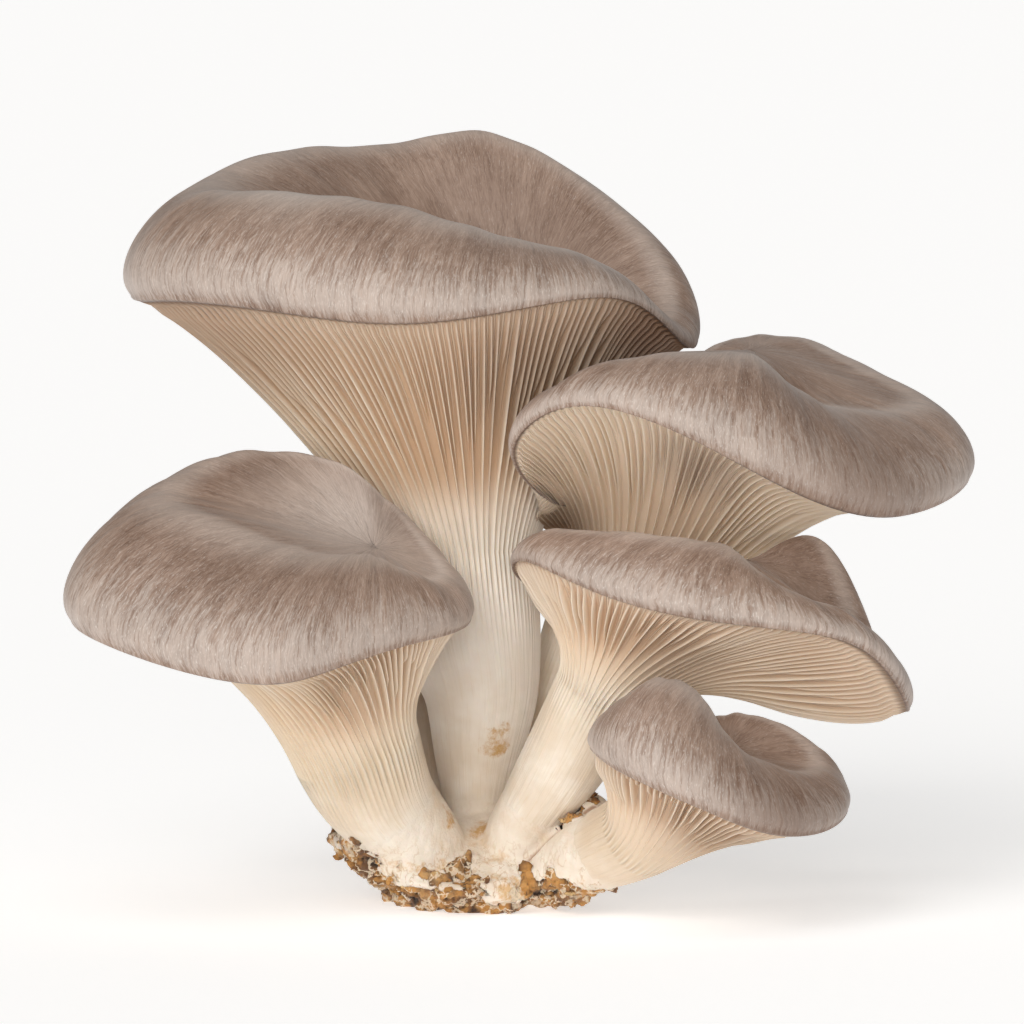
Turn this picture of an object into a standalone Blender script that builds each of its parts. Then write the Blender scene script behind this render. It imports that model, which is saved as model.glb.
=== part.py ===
"""Oyster mushroom cluster: six mushrooms rising from one crumbly clump of mycelium.

Lengths are in millimetres here and are scaled to metres when the meshes are made.
X runs to the right, Y away from the front, Z up, and Z = 0 is the flat spot under the clump.
Each mushroom is one closed body: foot, stem, gilled underside, rolled margin and hollow cap.
"""
import math

import bpy
import numpy as np

MM = 0.001
GAP = 0.45            # clear space between a foot and its socket
GILL_DEPTH = 1.8      # height of a gill over the flesh between gills
SOCKET_TOP = 22.0     # height at which the socket cutters end
SOCKET_COLUMNS = 24
RIM_TRIM = 0.22       # share of the way from rim to neck over which a gill sinks back to the flesh
NECK_TRIM = 0.4       # share of the way from neck to rim over which a gill rises
GILL_ROWS = (0.12, 0.26, 0.42, 0.58, 0.74, 0.88)                  # neck 0, rim 1
CAP_ROWS = (0.12, 0.3, 0.5, 0.74, 1.0, 1.2, 1.45, 1.7)            # rim 0, crest 1, hollow 2
LAST_CAP_ROW = 1.88

# A cap is twelve rows, one every 30 degrees from the right hand side round by the back:
# rim x, rim y, rim z, inset of the crest, rise of the crest, vault of the underside.
# A stem is rows of x, y, z, radius from the foot to the neck where the gills begin.
MUSHROOMS = {
    "mushroom_top": dict(
        gills=56, depth=0.86, hollow=(3, 20, 94.8), straight=0.62,
        stem=((-2.5, 6.5, 2.8, 4.4), (-2.4, 6.6, 11.8, 5), (-2.3, 6.6, 18.8, 6.2), (-2, 7, 26.8, 8),
              (-1.6, 7.6, 34.8, 9.8), (-2.6, 8.4, 41.8, 11.4), (-3.8, 9.2, 49.8, 12.2),
              (-4.8, 10, 58.8, 12.2)),
        cap=((34.5, 13, 94.1, 5, 5, 0.16), (35, 27, 99.8, 6, 8, 0.16),
             (23.8, 40.6, 108.6, 8, 11.2, 0.06), (-1, 51, 116, 9, 13.5, 0),
             (-25, 50, 114.8, 9, 12.5, 0), (-46, 39, 110.8, 11, 16, 0),
             (-61.5, 16, 103.2, 13, 18.8, 0.09), (-56, -4, 103.2, 15, 18.5, 0),
             (-38, -16, 102.3, 16, 19, 0.03), (-15, -20, 100.5, 17, 17, 0.05),
             (8, -16, 103.3, 14, 10, 0.05), (25, -4, 102.8, 9, 6, 0.1)),
    ),
    "mushroom_left": dict(
        gills=44, depth=0.95, hollow=(-19.5, -15, 60), straight=0.08,
        stem=((-9, -4.5, 3.3, 4.9), (-11, -5.3, 8.8, 6.5), (-15.6, -7.6, 15.3, 8.3),
              (-19.8, -11, 21.6, 10), (-22.6, -13.4, 28.4, 10.8)),
        cap=((-3.5, -20, 49.8, 6, 8, 0.14), (-5, -8.6, 53.8, 5.6, 7.6, 0.15),
             (-13.5, -2.6, 59.2, 6.6, 9.6, 0.15), (-28, 1, 63, 10.4, 12.2, 0.16),
             (-43, 5, 62.4, 12, 15.2, 0.18), (-58, 0, 57.2, 14, 19.8, 0.22),
             (-69.5, -14, 51.8, 16, 20.5, 0.22), (-68.5, -28, 48.8, 20, 20.5, 0.22),
             (-53, -39, 44.3, 22, 20, 0.2), (-37, -43, 42.4, 20, 20, 0.1),
             (-25.5, -40, 44.8, 17, 17.5, 0.06), (-13, -32, 47.8, 12, 13, 0.1)),
    ),
    "mushroom_upper_right": dict(
        gills=48, depth=0.9, hollow=(44, 5, 90.8), straight=0.35,
        stem=((8, 5, 5.3, 3.8), (9, 8, 12.8, 4.9), (11.5, 13, 24.8, 6.4), (14.6, 17, 34.8, 8),
              (18.8, 17.6, 44.8, 9.6), (24, 16.2, 53.3, 11.4)),
        cap=((82, 3, 71.8, 10, 13, 0.12), (76, 17, 75.8, 12, 14.2, 0.05),
             (60, 28, 80.8, 13, 14.5, 0.05), (41, 31, 82.6, 12.8, 12.8, 0.05),
             (28.5, 22, 78.8, 10.8, 12.3, 0), (15, 7.5, 68.8, 7.4, 11, -0.1),
             (7.5, -7, 70.8, 8, 12.3, -0.06), (3.5, -14, 79.3, 8, 9, 0.03),
             (14, -20, 86.8, 12, 7.5, 0.05), (32, -26, 82.3, 16, 13, 0.08),
             (50, -27, 73.3, 20, 20, 0.12), (69, -18, 67.8, 20, 18.5, 0.14)),
    ),
    "mushroom_middle_right": dict(
        gills=44, depth=0.95, hollow=(43, -14, 57.4), straight=0.2,
        stem=((3, -3.5, 3.3, 4), (4.1, -4.5, 9.8, 4.9), (7.2, -6.6, 16.5, 6), (11, -9.6, 23.1, 7),
              (15, -12.5, 30.1, 7.8), (19.2, -14.5, 37.8, 8.5)),
        cap=((71.5, -6, 33.8, 6, 9, -0.13), (67.5, 1, 37.3, 6, 8, -0.07), (60, 4, 46.8, 6.4, 15.8, 0),
             (46, -3, 49.8, 7, 8.5, 0), (29, -6, 50.8, 6, 7.5, 0), (12, -7, 53.3, 6, 7.5, 0),
             (4, -9, 57.3, 6, 6.5, 0.02), (6, -16, 60.3, 7, 5.5, 0.03), (18, -26, 55.8, 11, 9.5, 0.05),
             (37, -30, 51.5, 12, 11, 0.05), (57, -26, 48.6, 10, 7.5, 0), (67.5, -18, 41.8, 8, 9, -0.08)),
    ),
    "mushroom_lower_right": dict(
        gills=32, depth=0.95, hollow=(38, -31, 29.8), straight=0.3,
        stem=((9.5, -8.6, 5.1, 3.8), (12.5, -10.7, 7, 4.7), (16, -13.3, 9.3, 5.9),
              (20.5, -17.2, 12, 7.1), (25, -21.5, 14.8, 7.8)),
        cap=((60, -30, 19.8, 6, 7, 0.05), (58, -20, 21.8, 6, 9, 0.05), (49, -17, 23.8, 7, 11, 0),
             (38, -16, 24.3, 7, 10.5, 0), (27.5, -20, 25.8, 6, 7.5, 0),
             (19, -26.5, 28.8, 5, 7.5, 0.03), (16.5, -34, 30.8, 5, 7, 0.08),
             (19, -42, 29, 8, 13, 0.08), (26, -47, 25.8, 10, 17, 0.08), (36, -48, 21.8, 12, 15, 0.05),
             (47, -45, 17.8, 13, 14, 0.05), (56, -38, 17.3, 10, 11, 0.05)),
    ),
    "mushroom_back": dict(
        gills=32, depth=0.95, hollow=(-33, 33, 53.8), straight=0.3,
        stem=((-11.8, 7.8, 5.8, 3.7), (-12.8, 10.4, 12.8, 4.9), (-14.6, 15.6, 22.8, 7),
              (-18.4, 20.4, 32.8, 8.6), (-22.6, 24, 40.3, 9.2)),
        cap=((-15, 32, 53.8, 5, 6, 0.08), (-17, 43, 50.8, 6, 8, 0.08), (-25, 51, 47.8, 8, 10, 0.08),
             (-36, 54, 45.8, 9, 12, 0.08), (-47, 51, 46.8, 8, 11, 0.08), (-55, 42, 49.8, 7, 9, 0.08),
             (-57, 32, 52.8, 6, 7, 0.08), (-52, 23, 55.8, 5, 5, 0.08), (-43, 18, 57.8, 5, 4, 0.08),
             (-33, 17, 58.8, 5, 4, 0.08), (-24, 19, 58.8, 5, 4, 0.08), (-18, 24, 56.8, 5, 5, 0.08)),
    ),
}

# The clump: rows of height, centre x, centre y, half width, half depth from its flat spot to its top
CLUMP = ((0.0, -1.5, 1.5, 14.5, 13.5), (0.9, -1.5, 1.5, 16.0, 15.0), (4.0, -2.6, 1.5, 18.0, 17.0),
         (8.0, -4.2, 1.8, 20.6, 18.2), (11.5, -5.6, 2.2, 21.0, 17.6), (14.0, -6.0, 2.0, 16.0, 14.0),
         (15.2, -4.0, 2.0, 8.0, 7.0))
CLUMP_LUMP = 0.9      # how far its surface swells and sinks
CLUMP_COLUMNS, CLUMP_ROWS = 40, 16

FLESH = (0.66, 0.56, 0.45, 1.0)
CRUMB = (0.45, 0.33, 0.21, 1.0)


def unit(v):
    return v / np.maximum(np.linalg.norm(v, axis=-1, keepdims=True), 1e-9)


def closed_spline(rows, t):
    """Cubic spline through the rows of a ring, row k standing at t = k."""
    p = np.asarray(rows, float)
    n = len(p)
    eye = np.eye(n)
    m = np.linalg.solve(4 * eye + np.roll(eye, 1, 0) + np.roll(eye, -1, 0),
                        6 * (np.roll(p, -1, 0) - 2 * p + np.roll(p, 1, 0)))
    i = np.floor(t).astype(int) % n
    j = (i + 1) % n
    f = (t - np.floor(t))[:, None]
    g = 1 - f
    return g * p[i] + f * p[j] + ((g**3 - g) * m[i] + (f**3 - f) * m[j]) / 6


def open_spline(rows, t):
    """Cubic spline through the rows of an open path and its direction, with free ends."""
    p = np.asarray(rows, float)
    n = len(p)
    a = np.eye(n)
    b = np.zeros_like(p)
    for k in range(1, n - 1):
        a[k, k - 1:k + 2] = (1, 4, 1)
        b[k] = 6 * (p[k + 1] - 2 * p[k] + p[k - 1])
    m = np.linalg.solve(a, b)
    i = np.clip(np.floor(t).astype(int), 0, n - 2)
    f = (t - i)[:, None]
    g = 1 - f
    at = g * p[i] + f * p[i + 1] + ((g**3 - g) * m[i] + (f**3 - f) * m[i + 1]) / 6
    along = p[i + 1] - p[i] + ((1 - 3 * g**2) * m[i] + (3 * f**2 - 1) * m[i + 1]) / 6
    return at, along


def bezier(p0, p1, p2, p3, s):
    return (1 - s)**3 * p0 + 3 * s * (1 - s)**2 * p1 + 3 * s**2 * (1 - s) * p2 + s**3 * p3


def stem_ring(spec, t, angles, swell=0.0):
    """One ring of the stem at path position t, square to the path."""
    at, along = open_spline(spec["stem"], np.array([t]))
    axis = unit(along[0, :3])
    e1 = unit(np.array([1.0, 0, 0]) - axis[0] * axis)
    e2 = np.cross(axis, e1)
    r = at[0, 3] + swell
    return at[0, :3] + r * (np.cos(angles)[:, None] * e1 + spec["depth"] * np.sin(angles)[:, None] * e2)


def foot_end(spec):
    """Middle of the foot and the direction out of its end."""
    at, along = open_spline(spec["stem"], np.array([0.0]))
    return at[0, :3], -unit(along[0, :3])


def cap_curves(spec, angles):
    """Rim, outward direction, crest and vault at each angle."""
    row = closed_spline(spec["cap"], angles / (2 * math.pi) * len(spec["cap"]))
    rim = row[:, :3]
    hollow = np.asarray(spec["hollow"], float)
    out = rim - hollow
    out[:, 2] = 0
    out = unit(out)
    crest = rim - out * row[:, 3:4] + np.array([0, 0, 1.0]) * row[:, 4:5]
    return rim, out, crest, row[:, 5:6]


def underside(spec, angles, v):
    """Gilled surface from the neck (v = 0) to the rim (v = 1), before the gills are raised."""
    rim, out, crest, vault = cap_curves(spec, angles)
    last = len(spec["stem"]) - 1.0
    neck = stem_ring(spec, last, angles)
    axis = unit(open_spline(spec["stem"], np.array([last]))[1][0, :3])
    length = np.linalg.norm(rim - neck, axis=1, keepdims=True)
    reach = np.maximum(((rim - neck) * out).sum(1, keepdims=True), 0.1 * length)
    run = spec["straight"] * (rim - neck)
    loose = 1 - spec["straight"]
    b1 = neck + 0.36 * (run + axis * loose * length)
    b2 = rim - 0.34 * (run + out * loose * reach) + np.array([0, 0, 1.0]) * vault * length
    return bezier(neck, b1, b2, rim, v)


def gill_relief(spec, angles, v):
    """Underside at v, its outward normal, and the share of full depth that a gill has there."""
    base = underside(spec, angles, v)
    step = (underside(spec, angles, v + 0.01) - underside(spec, angles, v - 0.01)) / 0.02
    turn = np.roll(base, -1, 0) - np.roll(base, 1, 0)
    across = np.cross(turn, step)
    room = np.linalg.norm(across, axis=1) / np.linalg.norm(turn, axis=1)
    shear = room / np.linalg.norm(step, axis=1)
    rise = np.clip((v - 0.03) / NECK_TRIM, 0, 1)
    fall = np.clip((1 - v) / RIM_TRIM, 0, 1)
    share = rise * rise * (3 - 2 * rise) * np.sqrt(fall) * shear**2 * np.clip(room / 12.0, 0, 1)
    return base, unit(across), share[:, None]


def top_side(spec, angles, s):
    """Upper surface: s runs 0 to 1 from rim to crest and 1 to 2 from crest to hollow."""
    rim, out, crest, _ = cap_curves(spec, angles)
    hollow = np.asarray(spec["hollow"], float)
    up = np.array([0, 0, 1.0])
    inset = ((rim - crest) * out).sum(1, keepdims=True)
    rise = (crest - rim)[:, 2:3]
    if s <= 1:
        p1 = rim + up * 0.5 * rise + out * 0.12 * rise
        p2 = crest + out * 0.55 * inset
        return bezier(rim, p1, p2, crest, s)
    reach = ((crest - hollow) * out).sum(1, keepdims=True)
    p1 = crest - out * 0.33 * reach
    p2 = hollow + out * 0.36 * reach
    return bezier(crest, p1, p2, hollow + 0 * crest, s - 1)


def strip(rings, faces, lower, upper):
    """Triangles between two rings of equal count, or of counts in a whole ratio."""
    a, b = rings[lower], rings[upper]
    n, m = len(a), len(b)
    if n > m:
        k = n // m
        for j in range(m):
            u, w = b[j], b[(j + 1) % m]
            for i in range(k):
                p, q = a[j * k + i], a[(j * k + i + 1) % n]
                if i == k // 2:
                    faces.append((p, w, u))
                faces.append((p, q, u if i < k // 2 else w))
    else:
        k = m // n
        for j in range(n):
            u, w = a[j], a[(j + 1) % n]
            for i in range(k):
                p, q = b[j * k + i], b[(j * k + i + 1) % m]
                if i == k // 2:
                    faces.append((u, w, p))
                faces.append((u if i < k // 2 else w, q, p))


def loft(rings_xyz, first, last):
    """Closed body from a stack of rings with a point at each end."""
    verts = [np.asarray(first, float)[None, :]]
    rings, start = [], 1
    for ring in rings_xyz:
        rings.append(list(range(start, start + len(ring))))
        verts.append(ring)
        start += len(ring)
    verts.append(np.asarray(last, float)[None, :])
    faces = []
    n = len(rings[0])
    for j in range(n):
        faces.append((0, rings[0][(j + 1) % n], rings[0][j]))
    for k in range(len(rings) - 1):
        strip(rings, faces, k, k + 1)
    n = len(rings[-1])
    for j in range(n):
        faces.append((rings[-1][j], rings[-1][(j + 1) % n], start))
    return np.vstack(verts), faces


def mushroom_body(spec):
    """Rings of one mushroom, from the foot up the stem, out under the cap, over the rim and in."""
    gills = spec["gills"]
    fine = np.arange(2 * gills) * math.pi / gills
    half, quarter = fine[::2], fine[::4]
    rings = []
    last = len(spec["stem"]) - 1.0
    foot, down = foot_end(spec)
    rings.append(foot + 0.6 * (stem_ring(spec, 0.0, quarter) - foot) + 0.6 * down)
    count = 2 * int(last) + 1
    for t in np.linspace(0.0, last - 0.25, count):
        rings.append(stem_ring(spec, t, quarter))
    rings.append(stem_ring(spec, last, half))
    ridge = (np.arange(2 * gills) % 2 == 0).astype(float)[:, None]
    for v in GILL_ROWS:
        base, normal, share = gill_relief(spec, fine, v)
        rings.append(base + normal * ridge * share * GILL_DEPTH)
    rings.append(underside(spec, half, 1.0))
    for s in CAP_ROWS:
        rings.append(top_side(spec, half, s))
    rings.append(top_side(spec, quarter, LAST_CAP_ROW))
    return loft(rings, foot + 0.8 * down, spec["hollow"])


def clump_body():
    """Lumpy body of mycelium and crumbs, level underneath."""
    ring = np.arange(CLUMP_COLUMNS) * 2 * math.pi / CLUMP_COLUMNS
    rings = []
    for t in np.linspace(0.0, len(CLUMP) - 1.0, CLUMP_ROWS):
        z, cx, cy, rx, ry = open_spline(CLUMP, np.array([t]))[0][0]
        x, y = np.cos(ring), np.sin(ring)
        lump = (np.sin(3 * x + 2 * y + 0.35 * z) + 0.7 * np.cos(5 * y - 4 * x + 0.5 * z)
                + 0.5 * np.sin(8 * x - 7 * y + 0.9 * z))
        swell = CLUMP_LUMP * lump * min(1.0, z / 2.0)
        rings.append(np.stack([cx + (rx + swell) * x, cy + (ry + swell) * y, z + 0.45 * swell], 1))
    top = rings[-1].mean(0)
    return loft(rings, (CLUMP[0][1], CLUMP[0][2], 0.0), top + np.array([0, 0, 0.4]))


def socket_body(spec):
    """The foot and lower stem, a gap larger all round."""
    ring = np.arange(SOCKET_COLUMNS) * 2 * math.pi / SOCKET_COLUMNS
    last = len(spec["stem"]) - 1.0
    steps = [t for t in np.arange(0.0, last, 0.5) if stem_ring(spec, t, ring)[:, 2].mean() < SOCKET_TOP]
    rings = [stem_ring(spec, t, ring, GAP) for t in steps]
    foot, down = foot_end(spec)
    rings.insert(0, foot + 0.75 * (rings[0] - foot) + (0.6 + GAP) * down)
    return loft(rings, foot + (0.8 + GAP) * down, rings[-1].mean(0))


def make_object(name, verts, faces, colour=None, roughness=0.8):
    mesh = bpy.data.meshes.new(name)
    mesh.from_pydata([tuple(v * MM) for v in verts], [], faces)
    mesh.validate()
    for poly in mesh.polygons:
        poly.use_smooth = True
    obj = bpy.data.objects.new(name, mesh)
    bpy.context.scene.collection.objects.link(obj)
    if colour:
        mat = bpy.data.materials.new(name)
        mat.use_nodes = True
        shader = mat.node_tree.nodes["Principled BSDF"]
        shader.inputs["Base Color"].default_value = colour
        shader.inputs["Roughness"].default_value = roughness
        shader.inputs["Metallic"].default_value = 0.0
        mesh.materials.append(mat)
    return obj


def main():
    for obj in list(bpy.data.objects):
        bpy.data.objects.remove(obj, do_unlink=True)
    clump = make_object("clump", *clump_body(), CRUMB, 0.9)
    for name, spec in MUSHROOMS.items():
        make_object(name, *mushroom_body(spec), FLESH, 0.7)
        cutter = make_object("socket_" + name, *socket_body(spec))
        cutter.hide_render = True
        cutter.display_type = "WIRE"
        cut = clump.modifiers.new("socket_" + name, "BOOLEAN")
        cut.operation = "DIFFERENCE"
        cut.solver = "EXACT"
        cut.object = cutter


main()
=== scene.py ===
"""Oyster mushroom cluster: six gilled mushrooms on one clump of mycelium, dressed for a studio view.

Lengths are in millimetres, scaled to metres when a mesh is made. X runs right, Y away from the
front, Z up. Every mushroom and the clump is replaced by a finer body of the same form.
"""
import math

import bmesh
import bpy
import numpy as np
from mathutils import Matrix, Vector, noise


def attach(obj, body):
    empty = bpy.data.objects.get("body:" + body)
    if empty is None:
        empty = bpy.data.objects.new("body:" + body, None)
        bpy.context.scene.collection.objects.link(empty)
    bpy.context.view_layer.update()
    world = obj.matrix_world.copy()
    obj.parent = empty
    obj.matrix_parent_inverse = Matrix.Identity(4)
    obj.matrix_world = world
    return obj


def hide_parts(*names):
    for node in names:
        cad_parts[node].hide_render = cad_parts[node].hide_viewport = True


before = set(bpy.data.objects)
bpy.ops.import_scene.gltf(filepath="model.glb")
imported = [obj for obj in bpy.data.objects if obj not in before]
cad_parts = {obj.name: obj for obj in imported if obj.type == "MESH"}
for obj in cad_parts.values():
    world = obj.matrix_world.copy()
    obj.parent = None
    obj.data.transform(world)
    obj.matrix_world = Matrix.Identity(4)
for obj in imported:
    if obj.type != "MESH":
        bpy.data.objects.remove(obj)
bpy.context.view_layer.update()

MM = 0.001

# -------------------- camera, light and floor

PIXEL = 0.17          # millimetres of the object to a pixel at the camera's target
TILT = math.radians(5.5)
TARGET = Vector((3.74, 0.0, 66.8 / math.cos(TILT))) * MM
DISTANCE = 1.4        # metres from the camera to its target
SENSOR = 36.0


def aim(obj, target):
    obj.rotation_euler = (target - obj.location).to_track_quat("-Z", "Y").to_euler()


def link(obj):
    bpy.context.scene.collection.objects.link(obj)
    return obj


cam = link(bpy.data.objects.new("camera", bpy.data.cameras.new("camera")))
cam.location = TARGET + DISTANCE * Vector((0, -math.cos(TILT), math.sin(TILT)))
aim(cam, TARGET)
cam.data.sensor_width = SENSOR
cam.data.lens = SENSOR * DISTANCE / (1024 * PIXEL * MM)
cam.data.clip_end = 100.0
bpy.context.scene.camera = cam
bpy.context.scene.view_settings.view_transform = "Standard"


def sun(name, azimuth, elevation, strength, angle, colour):
    """Soft light `angle` degrees wide, from an azimuth east of the front and an elevation."""
    lamp = bpy.data.lights.new(name, "SUN")
    lamp.energy = strength
    lamp.angle = math.radians(angle)
    lamp.color = colour
    obj = link(bpy.data.objects.new(name, lamp))
    a, e = math.radians(azimuth), math.radians(elevation)
    obj.location = TARGET + Vector((math.sin(a) * math.cos(e), -math.cos(a) * math.cos(e), math.sin(e)))
    aim(obj, TARGET)


sun("front", -7, 9, 1.25, 40, (1.0, 0.985, 0.965))
sun("key", -32, 32, 1.0, 30, (1.0, 0.985, 0.96))
sun("high", -20, 62, 0.7, 50, (1.0, 0.985, 0.96))
sun("rear", 165, 40, 0.25, 50, (1.0, 0.98, 0.96))

world = bpy.data.worlds.new("studio")
bpy.context.scene.world = world
world.use_nodes = True
world.node_tree.nodes["Background"].inputs["Color"].default_value = (1.0, 0.985, 0.97, 1)
world.node_tree.nodes["Background"].inputs["Strength"].default_value = 0.06


# -------------------- shader helpers

class Shader:
    """A material under construction: adds nodes and links them."""

    def __init__(self, name):
        self.mat = bpy.data.materials.new(name)
        self.mat.use_nodes = True
        self.tree = self.mat.node_tree
        self.main = self.tree.nodes["Principled BSDF"]

    def put(self, socket, value):
        if isinstance(value, bpy.types.NodeSocket):
            self.tree.links.new(value, socket)
        else:
            socket.default_value = value

    def node(self, kind, sockets=None, out=0, **settings):
        n = self.tree.nodes.new("ShaderNode" + kind)
        for key, value in settings.items():
            setattr(n, key, value)
        for key, value in (sockets or {}).items():
            self.put(n.inputs[key], value)
        return n.outputs[out]

    def math(self, op, a, b=0.0, c=0.0, clamp=False):
        return self.node("Math", {0: a, 1: b, 2: c}, operation=op, use_clamp=clamp)

    def number(self, name):
        return self.node("Attribute", attribute_name=name, out="Fac")

    def vector(self, name):
        return self.node("Attribute", attribute_name=name, out="Vector")

    def scaled(self, vec, x, y, z):
        return self.node("VectorMath", {0: vec, 1: (x, y, z)}, operation="MULTIPLY")

    def noise(self, vec, scale=1.0, detail=2.0, rough=0.5):
        return self.node("TexNoise", {"Vector": vec, "Scale": scale, "Detail": detail,
                                      "Roughness": rough})

    def span(self, value, low, high, a=0.0, b=1.0):
        """Smooth step of a value from a at low to b at high."""
        return self.node("MapRange", {"Value": value, "From Min": low, "From Max": high,
                                      "To Min": a, "To Max": b}, interpolation_type="SMOOTHSTEP")

    def mix(self, share, a, b):
        n = self.tree.nodes.new("ShaderNodeMix")
        n.data_type = "RGBA"
        self.put(n.inputs[0], share)
        self.put(n.inputs[6], a)
        self.put(n.inputs[7], b)
        return n.outputs[2]

    def bump(self, height, depth_mm, below=None):
        sockets = {"Height": height, "Distance": depth_mm * MM, "Strength": 1.0}
        if below is not None:
            sockets["Normal"] = below
        return self.node("Bump", sockets)

    def set(self, **sockets):
        for key, value in sockets.items():
            self.put(self.main.inputs[key.replace("_", " ")], value)


def rgb(r, g, b):
    """Linear colour from the 0-255 numbers of a screen."""
    def one(c):
        c /= 255.0
        return c / 12.92 if c <= 0.04045 else ((c + 0.055) / 1.055) ** 2.4
    return (one(r), one(g), one(b), 1.0)


FLESH_DULL, FLESH_PALE = rgb(227, 212, 193), rgb(240, 230, 216)     # stems and mycelium
CAP_DARK, CAP_LIGHT, CAP_HAIR = rgb(110, 82, 64), rgb(182, 156, 139), rgb(227, 219, 212)
EDGE_BROWN, CRIMP_BROWN = rgb(86, 60, 42), rgb(88, 64, 48)
# BRUISE is the ochre of real stains; the brown beside it is painted shade for the flesh
BRUISE, PAINTED_SHADE_BROWN = rgb(198, 150, 80), rgb(112, 74, 46)


def floor_material():
    """Pale studio floor that glows a little, so that it stays nearly white."""
    s = Shader("studio_floor")
    grain = s.noise(s.node("NewGeometry", out="Position"), 900.0, 3.0)
    s.set(Base_Color=s.mix(grain, (0.86, 0.86, 0.86, 1), (0.88, 0.88, 0.88, 1)), Roughness=0.9)
    for key, value in (("Specular IOR Level", 0.1), ("Emission Color", (1, 1, 1, 1)),
                       ("Emission Strength", 0.5)):
        s.main.inputs[key].default_value = value
    return s.mat


disc = bpy.data.meshes.new("floor")
turn = [i * math.pi / 48 for i in range(96)]
disc.from_pydata([(30 * math.cos(a), 30 * math.sin(a), 0.0) for a in turn], [], [list(range(96))])
floor = link(bpy.data.objects.new("floor", disc))
disc.materials.append(floor_material())


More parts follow.
